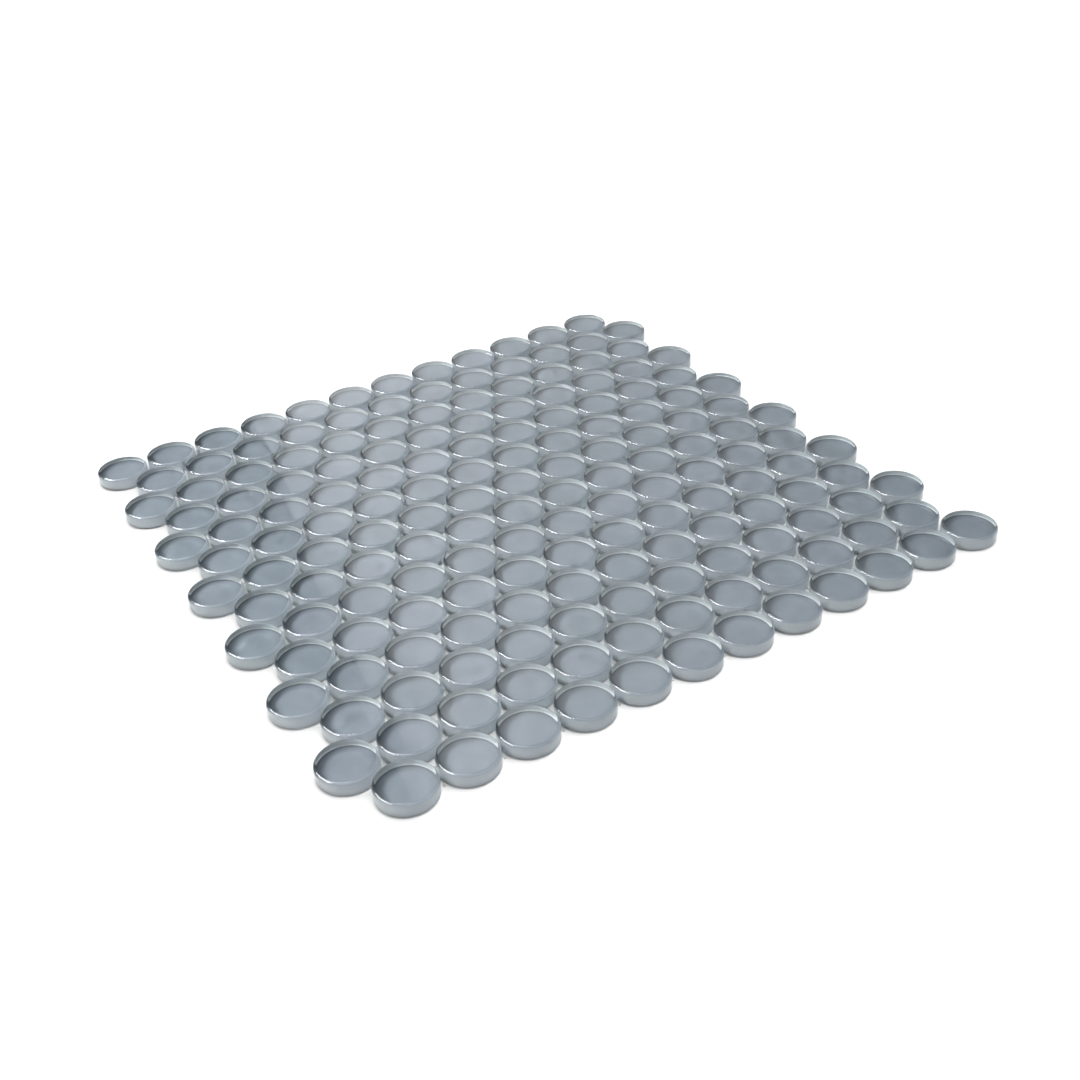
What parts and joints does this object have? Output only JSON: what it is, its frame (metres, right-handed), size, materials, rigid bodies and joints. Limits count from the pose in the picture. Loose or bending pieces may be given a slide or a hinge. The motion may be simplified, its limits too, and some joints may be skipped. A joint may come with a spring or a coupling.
{
  "type": "glass penny round mosaic tile sheet",
  "caption": "Sheet of round clear glass mosaic tiles with grey-blue painted backs, laid in staggered rows on an open backing mesh, with sides that interlock with the next sheet.",
  "frame": {"origin": "middle of the sheet's underside, on the surface that the mesh lies on", "axes": "+X along the rows of discs, +Y across the rows towards the picture's far edge, +Z out of the polished faces"},
  "size_m": [0.3052, 0.2994, 0.007],
  "materials": {
    "glass": "clear glass, polished face, grey-blue paint on the back",
    "mesh": "open net of coated glass-fibre strands"
  },
  "bodies": {
    "root": {"disc_row_01": "glass", "disc_row_02": "glass", "disc_row_03": "glass", "disc_row_04": "glass", "disc_row_05": "glass", "disc_row_06": "glass", "disc_row_07": "glass", "disc_row_08": "glass", "disc_row_09": "glass", "disc_row_10": "glass", "disc_row_11": "glass", "disc_row_12": "glass", "disc_row_13": "glass", "disc_row_14": "glass", "proud_disc": "glass", "backing_mesh_01": "mesh", "backing_mesh_02": "mesh", "backing_mesh_03": "mesh", "backing_mesh_04": "mesh", "backing_mesh_05": "mesh", "backing_mesh_06": "mesh", "backing_mesh_07": "mesh", "backing_mesh_08": "mesh", "backing_mesh_09": "mesh", "backing_mesh_10": "mesh", "backing_mesh_11": "mesh", "backing_mesh_12": "mesh", "backing_mesh_13": "mesh", "backing_mesh_14": "mesh"}
  },
  "joints": []
}
